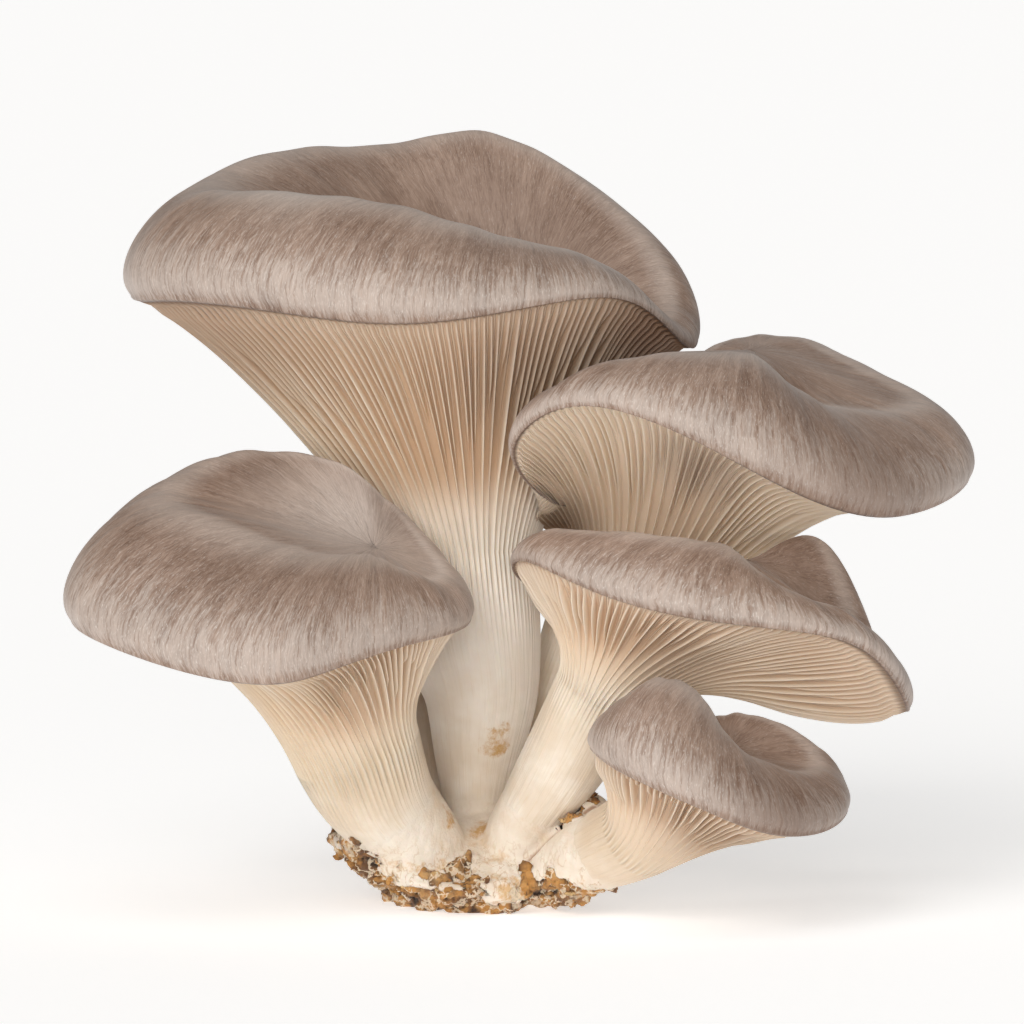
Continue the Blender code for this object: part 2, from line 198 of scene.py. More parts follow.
def cap_material(name, painted_shade_spots=(), painted_light_spots=()):
    """Felted skin: fibrils from the hollow to the margin, a pale ragged band above a brown edge, the
    band's pale tone partly painted highlight, and a painted highlight along the crest.
    """
    s = Shader(name)
    hair, inner, run = s.vector("hair"), s.vector("inner"), s.number("run")
    place = s.node("NewGeometry", out="Position")
    wander = s.node("TexNoise", {"Vector": place, "Scale": 260.0, "Detail": 2.0}, out="Color")
    wander = s.node("VectorMath", {0: wander, 1: (0.5, 0.5, 0.5)}, operation="SUBTRACT")
    centre = s.span(run, 1.15, 1.6)

    def streaks(width, length, seed, bend):
        """Fibrils of a width and length in millimetres, wandering sideways by `bend`."""
        both = []
        for vec in (hair, inner):
            v = s.node("VectorMath", {0: wander, 1: (bend, bend, bend), 2: vec},
                       operation="MULTIPLY_ADD")
            v = s.scaled(v, 1 / width, 1 / width, 1 / length)
            v = s.node("VectorMath", {0: v, 1: (seed, seed, seed)}, operation="ADD")
            both.append(s.noise(v, 1.0, 2.0, 0.55))
        return s.node("Mix", {"Factor": centre, "A": both[0], "B": both[1]}, data_type="FLOAT")

    fine = streaks(0.17, 1.7, 3.0, 0.7)
    long = streaks(0.4, 5.5, 11.0, 1.1)
    broad = streaks(2.4, 13.0, 23.0, 2.2)
    mottle = s.noise(place, 70.0, 3.0)
    felt = s.noise(place, 2600.0, 2.0)
    tone = s.math("MULTIPLY", fine, 0.5)
    tone = s.math("MULTIPLY_ADD", long, 0.36, tone)
    tone = s.math("MULTIPLY_ADD", broad, 0.42, tone)
    tone = s.math("MULTIPLY_ADD", mottle, 0.34, tone)
    tone = s.span(tone, 0.48, 1.15)
    # Paler towards the margin: partly paler skin and hair, partly painted highlight
    low_band = s.span(run, 0.02, 0.16)
    margin = s.math("MULTIPLY", s.span(run, 0.12, 0.8, 1.0, 0.0),
                    s.math("MULTIPLY_ADD", low_band, 0.6, 0.4))
    tone = s.math("MULTIPLY_ADD", margin, 0.14, tone, clamp=True)
    # A paler band along the crest: partly worn pale fibrils, partly painted highlight
    crest = s.math("MULTIPLY", s.span(run, 0.7, 0.96), s.span(run, 1.16, 1.0))
    tone = s.math("MULTIPLY_ADD", crest, 0.15, tone, clamp=True)
    colour = s.mix(tone, CAP_DARK, CAP_LIGHT)
    ragged = s.math("MULTIPLY_ADD", long, 0.9, s.math("MULTIPLY_ADD", margin, 0.5, -0.45))
    colour = s.mix(s.math("MULTIPLY", s.span(ragged, 0.1, 0.55), 0.36), colour, CAP_HAIR)
    pale = s.span(streaks(0.11, 0.9, 41.0, 1.0), 0.55, 0.72)
    pale = s.math("MULTIPLY", pale, s.math("MULTIPLY_ADD", margin, 0.35, 0.3))
    colour = s.mix(pale, colour, CAP_HAIR)
    # The crest band again in pale hair: partly worn fibrils, partly painted highlight
    colour = s.mix(s.math("MULTIPLY", crest, 0.25), colour, CAP_HAIR)
    # Painted shade: cap skin darkened where it turns away from the light
    for spot in painted_shade_spots:
        colour = s.mix(near_to(s, place, *spot), colour, CAP_DARK)
    # Painted light: pale hair added where the cap faces the light
    for spot in painted_light_spots:
        share = s.math("MULTIPLY", near_to(s, place, *spot), s.span(fine, 0.3, 0.7, 0.7, 1.0))
        colour = s.mix(share, colour, CAP_HAIR)
    crimp = s.noise(s.scaled(hair, 1 / 0.45, 1 / 0.45, 1 / 9.0), 1.0, 1.0)
    patch = s.span(s.noise(place, 28.0, 1.0), 0.5, 0.64)
    crimp = s.math("MULTIPLY", s.span(crimp, 0.42, 0.3), s.span(run, 0.08, 0.015))
    crimp = s.math("MULTIPLY", crimp, s.math("MULTIPLY", patch, 0.7))
    colour = s.mix(crimp, colour, CRIMP_BROWN)
    edge = s.math("SUBTRACT", run, s.math("MULTIPLY", s.noise(s.scaled(hair, 2.2, 2.2, 0.2)), 0.03))
    colour = s.mix(s.span(edge, -0.012, 0.02, 0.75, 0.0), colour, EDGE_BROWN)
    height = s.math("MULTIPLY_ADD", long, 0.8, fine)
    height = s.math("MULTIPLY_ADD", felt, 0.35, height)
    bump = s.bump(broad, 0.35)
    bump = s.bump(height, 0.045, bump)
    bump = s.bump(s.math("SUBTRACT", 1.0, crimp), 0.15, bump)
    s.set(Base_Color=colour, Normal=bump,
          Roughness=s.math("MULTIPLY_ADD", fine, 0.25, 0.4))
    for key, value in (("Sheen Weight", 0.22), ("Sheen Roughness", 0.45), ("Specular IOR Level", 0.42)):
        s.main.inputs[key].default_value = value
    s.main.inputs["Sheen Tint"].default_value = (0.98, 0.96, 0.95, 1)
    return s.mat


# Ochre stains of the stems: x, y, z and reach
STAINS = ((2.0, -1.5, 27.5, 7.5), (-0.5, -4.0, 12.5, 6.0), (-8.0, -9.0, 15.5, 5.0),
          (-13.5, 4.0, 25.0, 6.0))


def near_to(s, place, x, y, z, size, strength=1.0):
    """Share that falls softly from strength at a point to nothing `size` millimetres away."""
    gap = s.node("VectorMath", {0: place, 1: (x * MM, y * MM, z * MM)}, operation="DISTANCE", out="Value")
    return s.span(gap, 0.0, size * MM, strength, 0.0)


def stained(s, place, colour):
    """Ochre bruises of the stems, at a few places."""
    grain = s.noise(place, 420.0, 5.0, 0.7)
    for x, y, z, size in STAINS:
        near = near_to(s, place, x, y, z, size)
        mask = s.span(s.math("MULTIPLY_ADD", near, 0.45, grain), 0.7, 0.95, 0.0, 0.9)
        colour = s.mix(s.math("MULTIPLY", mask, s.span(near, 0.0, 0.4)), colour, BRUISE)
    return colour


def flesh_material(name, painted_shades=(), gill_painted_light=0.0, stem_painted_light_shade=None):
    """Stem and gills: cream flesh with fibres; brown between the gills is painted shade and the pale
    crests are a painted highlight, as on the low ridges that run down the stem.
    """
    s = Shader(name)
    hair, ridge = s.vector("hair"), s.number("ridge")
    reach, down = s.number("reach"), s.number("down")
    place = s.node("NewGeometry", out="Position")
    phase = s.node("SeparateXYZ", {0: s.node("UVMap", uv_map="around")}, out=0)
    fibre = s.noise(s.scaled(hair, 1 / 0.45, 1 / 0.45, 1 / 9.0), 1.0, 3.0, 0.6)
    broad = s.noise(s.scaled(hair, 1 / 2.2, 1 / 2.2, 1 / 22.0), 1.0, 2.0)
    cloud = s.noise(place, 110.0, 3.0, 0.6)
    felt = s.noise(place, 1500.0, 2.0, 0.6)
    wave = s.math("COSINE", s.math("MULTIPLY", phase, 2 * math.pi))
    decur = s.math("MULTIPLY", wave, s.number("decur"))

    stem = s.mix(s.span(cloud, 0.35, 0.7), FLESH_DULL, FLESH_PALE)
    stem = s.mix(s.math("MULTIPLY", s.span(fibre, 0.5, 0.75), 0.35), stem, rgb(213, 189, 152))
    stem = s.mix(s.math("MULTIPLY", s.span(down, 1.0, 16.0, 1.0, 0.0), 0.22), stem, rgb(230, 206, 168))
    # Painted light and shade: the upper stem made lighter or darker just below the gills
    if stem_painted_light_shade:
        share, fades_by, tint = stem_painted_light_shade
        stem = s.mix(s.span(down, 0.3 * fades_by, fades_by, share, 0.0), stem, tint)
    gill = s.mix(s.span(reach, 0.1, 0.95), rgb(233, 211, 184), rgb(212, 188, 167))
    gill = s.mix(s.math("MULTIPLY", s.span(fibre, 0.4, 0.8), 0.3), gill, rgb(200, 168, 134))
    # Painted shade: brown in the valleys between the gills
    gill = s.mix(s.span(ridge, 0.0, 0.75, 0.8, 0.0), gill, rgb(182, 140, 100))
    # faint gills of a third length between the raised ones, towards the margin
    third = s.math("COSINE", s.math("MULTIPLY_ADD", phase, 4 * math.pi, -math.pi))
    third = s.math("MULTIPLY", s.span(third, 0.55, 1.0), s.span(reach, 0.4, 0.7))
    gill = s.mix(s.math("MULTIPLY", third, 0.55), gill, rgb(232, 212, 188))
    # Painted highlight: pale along the gill crests
    gill = s.mix(s.span(ridge, 0.8, 1.0, 0.0, 0.6), gill, rgb(245, 233, 216))
    # Painted light: pale flesh mixed into the gills of some mushrooms for light they do not get
    gill = s.mix(gill_painted_light, gill, rgb(246, 229, 208))
    colour = s.mix(s.span(reach, 0.0, 0.32), stem, gill)
    # Painted shade: brown spots on the underside and stems where shade falls
    for spot in painted_shades:
        colour = s.mix(near_to(s, place, *spot), colour, PAINTED_SHADE_BROWN)
    # Painted highlight and shade: lighter along the low ridges that run down the stem, darker between them
    colour = s.mix(s.span(decur, 0.0, 1.0, 0.0, 0.3), colour, rgb(246, 235, 216))
    colour = s.mix(s.span(decur, -1.0, 0.0, 0.35, 0.0), colour, rgb(205, 172, 126))
    colour = s.mix(s.span(reach, 0.965, 1.0, 0.0, 0.8), colour, rgb(104, 74, 50))
    colour = stained(s, place, colour)
    height = s.math("MULTIPLY_ADD", felt, 0.25, fibre)
    bump = s.bump(s.math("MULTIPLY_ADD", decur, 0.5, 0.5), 0.22)
    bump = s.bump(broad, 0.3, bump)
    bump = s.bump(third, 0.2, bump)
    bump = s.bump(height, 0.09, bump)
    s.set(Base_Color=colour, Normal=bump, Roughness=s.math("MULTIPLY_ADD", cloud, 0.25, 0.45))
    for key, value in (("Subsurface Weight", 0.15), ("Subsurface Scale", 0.002), ("Sheen Weight", 0.06),
                       ("Specular IOR Level", 0.4)):
        s.main.inputs[key].default_value = value
    s.main.inputs["Subsurface Radius"].default_value = (1.0, 0.6, 0.35)
    return s.mat


# -------------------- shape of the mushrooms

# A cap is twelve rows, one every 30 degrees from the right hand side round by the back:
# rim x, rim y, rim z, inset of the crest, rise of the crest, vault of the underside.
# A stem is rows of x, y, z, radius from the foot to the neck where the gills begin.
MUSHROOMS = {
    "mushroom_top": dict(
        gills=56, depth=0.86, hollow=(3, 20, 94.8), straight=0.62,
        stem=((-2.5, 6.5, 2.8, 4.4), (-2.4, 6.6, 11.8, 5), (-2.3, 6.6, 18.8, 6.2), (-2, 7, 26.8, 8),
              (-1.6, 7.6, 34.8, 9.8), (-2.6, 8.4, 41.8, 11.4), (-3.8, 9.2, 49.8, 12.2),
              (-4.8, 10, 58.8, 12.2)),
        cap=((34.5, 13, 94.1, 5, 5, 0.16), (35, 27, 99.8, 6, 8, 0.16),
             (23.8, 40.6, 108.6, 8, 11.2, 0.06), (-1, 51, 116, 9, 13.5, 0),
             (-25, 50, 114.8, 9, 12.5, 0), (-46, 39, 110.8, 11, 16, 0),
             (-61.5, 16, 103.2, 13, 18.8, 0.09), (-56, -4, 103.2, 15, 18.5, 0),
             (-38, -16, 102.3, 16, 19, 0.03), (-15, -20, 100.5, 17, 17, 0.05),
             (8, -16, 103.3, 14, 10, 0.05), (25, -4, 102.8, 9, 6, 0.1)),
    ),
    "mushroom_left": dict(
        gills=44, depth=0.95, hollow=(-19.5, -15, 60), straight=0.08,
        stem=((-9, -4.5, 3.3, 4.9), (-11, -5.3, 8.8, 6.5), (-15.6, -7.6, 15.3, 8.3),
              (-19.8, -11, 21.6, 10), (-22.6, -13.4, 28.4, 10.8)),
        cap=((-3.5, -20, 49.8, 6, 8, 0.14), (-5, -8.6, 53.8, 5.6, 7.6, 0.15),
             (-13.5, -2.6, 59.2, 6.6, 9.6, 0.15), (-28, 1, 63, 10.4, 12.2, 0.16),
             (-43, 5, 62.4, 12, 15.2, 0.18), (-58, 0, 57.2, 14, 19.8, 0.22),
             (-69.5, -14, 51.8, 16, 20.5, 0.22), (-68.5, -28, 48.8, 20, 20.5, 0.22),
             (-53, -39, 44.3, 22, 20, 0.2), (-37, -43, 42.4, 20, 20, 0.1),
             (-25.5, -40, 44.8, 17, 17.5, 0.06), (-13, -32, 47.8, 12, 13, 0.1)),
    ),
    "mushroom_upper_right": dict(
        gills=48, depth=0.9, hollow=(44, 5, 90.8), straight=0.35,
        stem=((8, 5, 5.3, 3.8), (9, 8, 12.8, 4.9), (11.5, 13, 24.8, 6.4), (14.6, 17, 34.8, 8),
              (18.8, 17.6, 44.8, 9.6), (24, 16.2, 53.3, 11.4)),
        cap=((82, 3, 71.8, 10, 13, 0.12), (76, 17, 75.8, 12, 14.2, 0.05),
             (60, 28, 80.8, 13, 14.5, 0.05), (41, 31, 82.6, 12.8, 12.8, 0.05),
             (28.5, 22, 78.8, 10.8, 12.3, 0), (15, 7.5, 68.8, 7.4, 11, -0.1),
             (7.5, -7, 70.8, 8, 12.3, -0.06), (3.5, -14, 79.3, 8, 9, 0.03),
             (14, -20, 86.8, 12, 7.5, 0.05), (32, -26, 82.3, 16, 13, 0.08),
             (50, -27, 73.3, 20, 20, 0.12), (69, -18, 67.8, 20, 18.5, 0.14)),
    ),
    "mushroom_middle_right": dict(
        gills=44, depth=0.95, hollow=(43, -14, 57.4), straight=0.2,
        stem=((3, -3.5, 3.3, 4), (4.1, -4.5, 9.8, 4.9), (7.2, -6.6, 16.5, 6), (11, -9.6, 23.1, 7),
              (15, -12.5, 30.1, 7.8), (19.2, -14.5, 37.8, 8.5)),
        cap=((71.5, -6, 33.8, 6, 9, -0.13), (67.5, 1, 37.3, 6, 8, -0.07), (60, 4, 46.8, 6.4, 15.8, 0),
             (46, -3, 49.8, 7, 8.5, 0), (29, -6, 50.8, 6, 7.5, 0), (12, -7, 53.3, 6, 7.5, 0),
             (4, -9, 57.3, 6, 6.5, 0.02), (6, -16, 60.3, 7, 5.5, 0.03), (18, -26, 55.8, 11, 9.5, 0.05),
             (37, -30, 51.5, 12, 11, 0.05), (57, -26, 48.6, 10, 7.5, 0), (67.5, -18, 41.8, 8, 9, -0.08)),
    ),
    "mushroom_lower_right": dict(
        gills=32, depth=0.95, hollow=(38, -31, 29.8), straight=0.3,
        stem=((9.5, -8.6, 5.1, 3.8), (12.5, -10.7, 7, 4.7), (16, -13.3, 9.3, 5.9),
              (20.5, -17.2, 12, 7.1), (25, -21.5, 14.8, 7.8)),
        cap=((60, -30, 19.8, 6, 7, 0.05), (58, -20, 21.8, 6, 9, 0.05), (49, -17, 23.8, 7, 11, 0),
             (38, -16, 24.3, 7, 10.5, 0), (27.5, -20, 25.8, 6, 7.5, 0),
             (19, -26.5, 28.8, 5, 7.5, 0.03), (16.5, -34, 30.8, 5, 7, 0.08),
             (19, -42, 29, 8, 13, 0.08), (26, -47, 25.8, 10, 17, 0.08), (36, -48, 21.8, 12, 15, 0.05),
             (47, -45, 17.8, 13, 14, 0.05), (56, -38, 17.3, 10, 11, 0.05)),
    ),
    "mushroom_back": dict(
        gills=32, depth=0.95, hollow=(-33, 33, 53.8), straight=0.3,
        stem=((-11.8, 7.8, 5.8, 3.7), (-12.8, 10.4, 12.8, 4.9), (-14.6, 15.6, 22.8, 7),
              (-18.4, 20.4, 32.8, 8.6), (-22.6, 24, 40.3, 9.2)),
        cap=((-15, 32, 53.8, 5, 6, 0.08), (-17, 43, 50.8, 6, 8, 0.08), (-25, 51, 47.8, 8, 10, 0.08),
             (-36, 54, 45.8, 9, 12, 0.08), (-47, 51, 46.8, 8, 11, 0.08), (-55, 42, 49.8, 7, 9, 0.08),
             (-57, 32, 52.8, 6, 7, 0.08), (-52, 23, 55.8, 5, 5, 0.08), (-43, 18, 57.8, 5, 4, 0.08),
             (-33, 17, 58.8, 5, 4, 0.08), (-24, 19, 58.8, 5, 4, 0.08), (-18, 24, 56.8, 5, 5, 0.08)),
    ),
}

# The clump: rows of height, centre x, centre y, half width, half depth from its flat spot to its top
CLUMP = ((0.0, -1.5, 1.5, 14.5, 13.5), (0.9, -1.5, 1.5, 16.0, 15.0), (4.0, -2.6, 1.5, 18.0, 17.0),
         (8.0, -4.2, 1.8, 20.6, 18.2), (11.5, -5.6, 2.2, 21.0, 17.6), (14.0, -6.0, 2.0, 16.0, 14.0),
         (15.2, -4.0, 2.0, 8.0, 7.0))
CLUMP_LUMP = 0.9      # how far its surface swells and sinks


def unit(v):
    return v / np.maximum(np.linalg.norm(v, axis=-1, keepdims=True), 1e-9)


def closed_spline(rows, t):
    """Cubic spline through the rows of a ring, row k standing at t = k."""
    p = np.asarray(rows, float)
    n = len(p)
    eye = np.eye(n)
    m = np.linalg.solve(4 * eye + np.roll(eye, 1, 0) + np.roll(eye, -1, 0),
                        6 * (np.roll(p, -1, 0) - 2 * p + np.roll(p, 1, 0)))
    i = np.floor(t).astype(int) % n
    j = (i + 1) % n
    f = (t - np.floor(t))[:, None]
    g = 1 - f
    return g * p[i] + f * p[j] + ((g**3 - g) * m[i] + (f**3 - f) * m[j]) / 6


def open_spline(rows, t):
    """Cubic spline through the rows of an open path and its direction, with free ends."""
    p = np.asarray(rows, float)
    n = len(p)
    a = np.eye(n)
    b = np.zeros_like(p)
    for k in range(1, n - 1):
        a[k, k - 1:k + 2] = (1, 4, 1)
        b[k] = 6 * (p[k + 1] - 2 * p[k] + p[k - 1])
    m = np.linalg.solve(a, b)
    i = np.clip(np.floor(t).astype(int), 0, n - 2)
    f = (t - i)[:, None]
    g = 1 - f
    at = g * p[i] + f * p[i + 1] + ((g**3 - g) * m[i] + (f**3 - f) * m[i + 1]) / 6
    along = p[i + 1] - p[i] + ((1 - 3 * g**2) * m[i] + (3 * f**2 - 1) * m[i + 1]) / 6
    return at, along


def bezier(p0, p1, p2, p3, s):
    return (1 - s)**3 * p0 + 3 * s * (1 - s)**2 * p1 + 3 * s**2 * (1 - s) * p2 + s**3 * p3


def stem_ring(spec, t, angles, swell=0.0):
    """One ring of the stem at path position t, square to the path."""
    at, along = open_spline(spec["stem"], np.array([t]))
    axis = unit(along[0, :3])
    e1 = unit(np.array([1.0, 0, 0]) - axis[0] * axis)
    e2 = np.cross(axis, e1)
    r = at[0, 3] + swell
    return at[0, :3] + r * (np.cos(angles)[:, None] * e1 + spec["depth"] * np.sin(angles)[:, None] * e2)


TUCK = 0.1            # how far the rolled margin curls in under the cap, as a share of its rise

# Single caps: how much shallower the hollow is than in the plain body, how straight the hollow's
# sides run, and a swelling of the underside (its angle, its height and the angle it spreads over)
SHALLOWER = {"mushroom_upper_right": 3.6, "mushroom_middle_right": 3.0, "mushroom_left": 2.6}
CONE = {"mushroom_top": 0.5, "mushroom_left": 0.95, "mushroom_upper_right": 0.7,
        "mushroom_middle_right": 0.6, "mushroom_lower_right": 0.5, "mushroom_back": 0.3}
FULLER = {"mushroom_upper_right": (2.65, 9.5, 0.7)}


class Cap:
    """Curves of one cap at a fixed set of angles."""

    def __init__(self, name, angles):
        spec = MUSHROOMS[name]
        self.bare, self.cone = SMOOTH_NECK.get(name, 0.0), CONE[name]
        row = closed_spline(spec["cap"], angles / (2 * math.pi) * len(spec["cap"]))
        self.rim = row[:, :3]
        self.hollow = np.array(spec["hollow"], float)
        self.hollow[2] += SHALLOWER.get(name, 0.0)
        out = self.rim - self.hollow
        out[:, 2] = 0
        self.out = unit(out)
        self.up = np.array([0, 0, 1.0])
        self.inset, self.rise, self.vault = row[:, 3:4], row[:, 4:5], row[:, 5:6]
        self.crest = self.rim - self.out * self.inset + self.up * self.rise
        self.rim = self.rim - self.out * TUCK * self.rise
        last = len(spec["stem"]) - 1.0
        self.neck = stem_ring(spec, last, angles)
        axis = unit(open_spline(spec["stem"], np.array([last]))[1][0, :3])
        length = np.linalg.norm(self.rim - self.neck, axis=1, keepdims=True)
        reach = np.maximum(((self.rim - self.neck) * self.out).sum(1, keepdims=True), 0.1 * length)
        run = spec["straight"] * (self.rim - self.neck)
        loose = 1 - spec["straight"]
        self.b1 = self.neck + 0.36 * (run + axis * loose * length)
        self.b2 = self.rim - 0.34 * (run + self.out * loose * reach) + self.up * self.vault * length
        if name in FULLER:
            middle, size, spread = FULLER[name]
            swell = size * np.exp(-((angles - middle) / spread) ** 2)[:, None]
            self.b1 = self.b1 + self.out * swell
            self.b2 = self.b2 + self.out * swell

    def under(self, v):
        """Gilled surface from the neck (v = 0) to the rim (v = 1), before the gills are raised."""
        return bezier(self.neck, self.b1, self.b2, self.rim, v)

    def relief(self, v):
        """Underside at v, its outward normal and the share of full depth that a gill has there."""
        base = self.under(v)
        step = (self.under(v + 0.01) - self.under(v - 0.01)) / 0.02
        turn = np.roll(base, -1, 0) - np.roll(base, 1, 0)
        across = np.cross(turn, step)
        room = np.linalg.norm(across, axis=1) / np.linalg.norm(turn, axis=1)
        shear = room / np.linalg.norm(step, axis=1)
        rise = np.clip((v - 0.03 - self.bare) / 0.4, 0, 1)
        fall = np.clip((1 - v) / 0.42, 0, 1)
        share = (rise * rise * (3 - 2 * rise) * fall**0.6 * shear**2
                 * np.interp(room, (0, 9, 17, 34), (0, 0.45, 1.0, 0.6)))
        return base, unit(across), share[:, None]

    def top(self, s):
        """Upper surface: s runs 0 to 1 from rim to crest and 1 to 2 from crest to hollow."""
        if s <= 1:
            p1 = self.rim + self.up * 0.24 * self.rise + self.out * (TUCK + 0.3) * self.rise
            return bezier(self.rim, p1, self.crest + self.out * 0.58 * self.inset, self.crest, s)
        reach = ((self.crest - self.hollow) * self.out).sum(1, keepdims=True)
        drop = self.up * (self.crest - self.hollow)[:, 2:3] * self.cone
        return bezier(self.crest, self.crest - self.out * 0.33 * reach - 0.2 * drop,
                      self.hollow + self.out * 0.36 * reach + 0.36 * drop,
                      self.hollow + 0 * self.crest, s - 1)


# One period of the gills: place across it, and the height of a long and of a short gill there
GILL = [(0, 1, 0), (.045, .93, 0), (.075, .3, 0), (.11, 0, 0), (.2, 0, 0), (.3, 0, 0), (.39, 0, 0),
        (.425, 0, .3), (.455, 0, .93), (.5, 0, 1)]
GILL += [(1 - f, long, short) for f, long, short in GILL[8:0:-1]]
DENSER = 1.5          # gills drawn for each gill of the plain body
GILL_HEIGHT = 1.9     # a long gill above the flesh between gills
GILL_SINK = 0.9       # how far the flesh between gills lies under the plain surface
NECK_RIDGE = 0.4      # the low ridges by which long gills run down the stem
# How far down its stem a mushroom's ridges run, and the share of the underside above the neck
# that stays smooth
RUNS_DOWN = {"mushroom_top": 8.0, "mushroom_left": 5.5, "mushroom_upper_right": 8.0,
             "mushroom_middle_right": 4.0, "mushroom_lower_right": 3.0, "mushroom_back": 6.0}
SMOOTH_NECK = {"mushroom_middle_right": 0.2, "mushroom_lower_right": 0.3, "mushroom_left": 0.05}
LOWEST_GILL = 0.82    # the lowest of the long gills, as a share of the highest
SHORT_GILL = 0.85     # a short gill beside a long one
SHORT_FROM = (0.25, 0.72)         # where short gills begin, from the neck at 0 to the margin at 1
NUDGE, LEAN = 0.13, 0.26          # how far gills stray, and short ones lean, in gill spacings
LIP_OUT, LIP_DOWN = 0.28, 0.22    # the brown lip of the margin
HEM_UP, HEM_IN = 0.35, 0.25       # the groove just inside it, under the cap
FIBRE_RADIUS = 14.0   # radius at which the fibres of stem and gills are laid out
FLESH, SKIN = 0, 1    # places of a body's two materials
STEM_RINGS, GILL_RINGS, TOP_RINGS = 39, 34, 61
STEM_STEP, TOP_STEP = 3, 6        # every how many points round the gills the stem and the top have one
# Along the top, 0 at the rim, 1 at the crest and 2 in the hollow: how many waves round it remain,
# and the share of the low ripple
WAVES_LEFT = ((0, 0.35, 1, 1.5, 2), (400, 400, 14, 6, 2.5))
ALL_WAVES = 200       # from this many on a ring is left as it is
RIPPLE_SHARE = ((0.08, 0.5, 1.2, 1.7), (0, 1, 0.6, 0))
RIPPLE_HEIGHT, RIPPLE_WAVES = 0.4, 26


class Body:
    """Vertices in rings, with the numbers that the shaders read."""

    KEYS = ("hair", "inner", "run", "ridge", "reach", "down", "decur")

    def __init__(self):
        self.at, self.rings, self.count = [], [], 0
        self.data = {k: [] for k in self.KEYS}
        self.faces, self.around, self.skin = [], [], []

    def ring(self, points, phase, **data):
        n = len(points)
        self.at.append(points)
        for key in self.KEYS:
            width = 3 if key in ("hair", "inner") else 1
            value = np.broadcast_to(np.asarray(data.get(key, 0.0), float).reshape(-1, width)
                                    if key in data else np.zeros((1, width)), (n, width))
            self.data[key].append(value)
        self.rings.append((self.count, n, np.append(phase, phase[0] + self.period)))
        self.count += n
        return len(self.rings) - 1

    def join(self, a, b, skin):
        """Faces between two rings of equal count, or of counts in a whole ratio."""
        (sa, na, pa), (sb, nb, pb) = self.rings[a], self.rings[b]

        def face(*corners):
            self.faces.append([start + i % n for start, n, i, _ in corners])
            self.around.extend(ph[i] for _, _, i, ph in corners)
            self.skin.append(skin)

        if na == nb:
            for j in range(na):
                face((sa, na, j, pa), (sa, na, j + 1, pa), (sb, nb, j + 1, pb), (sb, nb, j, pb))
        elif na > nb:
            k = na // nb
            for j in range(nb):
                for i in range(k):
                    if i == k // 2:
                        face((sa, na, j * k + i, pa), (sb, nb, j + 1, pb), (sb, nb, j, pb))
                    face((sa, na, j * k + i, pa), (sa, na, j * k + i + 1, pa),
                         (sb, nb, j if i < k // 2 else j + 1, pb))
        else:
            k = nb // na
            for j in range(na):
                for i in range(k):
                    if i == k // 2:
                        face((sa, na, j, pa), (sa, na, j + 1, pa), (sb, nb, j * k + i, pb))
                    face((sa, na, j if i < k // 2 else j + 1, pa), (sb, nb, j * k + i + 1, pb),
                         (sb, nb, j * k + i, pb))

    def pole(self, ring, point, first, skin, **data):
        (start, n, ph) = self.rings[ring]
        centre = self.count
        self.at.append(np.asarray(point, float)[None, :])
        for key in self.KEYS:
            width = 3 if key in ("hair", "inner") else 1
            self.data[key].append(np.asarray(data.get(key, np.zeros(width)), float).reshape(1, width))
        self.count += 1
        for j in range(n):
            a, b = start + j, start + (j + 1) % n
            self.faces.append([centre, b, a] if first else [centre, a, b])
            self.around.extend([ph[j], ph[j + 1], ph[j]] if first else [ph[j], ph[j], ph[j + 1]])
            self.skin.append(skin)

    def build(self, name, materials):
        mesh = bpy.data.meshes.new(name)
        mesh.from_pydata((np.vstack(self.at) * MM).tolist(), [], self.faces)
        layer = mesh.uv_layers.new(name="around")
        flat = np.zeros((len(self.around), 2), np.float32)
        flat[:, 0] = self.around
        layer.data.foreach_set("uv", flat.ravel())
        for key in self.KEYS:
            value = np.vstack(self.data[key]).astype(np.float32)
            if value.shape[1] == 3:
                mesh.attributes.new(key, "FLOAT_VECTOR", "POINT").data.foreach_set("vector", value.ravel())
            else:
                mesh.attributes.new(key, "FLOAT", "POINT").data.foreach_set("value", value.ravel())
        for mat in materials:
            mesh.materials.append(mat)
        mesh.polygons.foreach_set("material_index", self.skin)
        mesh.polygons.foreach_set("use_smooth", [True] * len(self.skin))
        mesh.update()
        return link(bpy.data.objects.new(name, mesh))


def smooth_round(points, keep):
    """Keeps the waves of a ring up to about `keep` to a turn."""
    wave = np.fft.rfft(points, axis=0)
    k = np.arange(len(wave))[:, None]
    return np.fft.irfft(wave * np.exp(-(k / keep) ** 4), n=len(points), axis=0)


def ease(share):
    """Smooth step of a share from 0 to 1."""
    share = np.clip(share, 0, 1)
    return share * share * (3 - 2 * share)


def hair(theta, radius, run):
    """Where a fibre lies: round the axis at a radius, and along its run."""
    theta, run = np.broadcast_arrays(theta, run)
    return np.stack([radius * np.cos(theta), radius * np.sin(theta), run], 1)


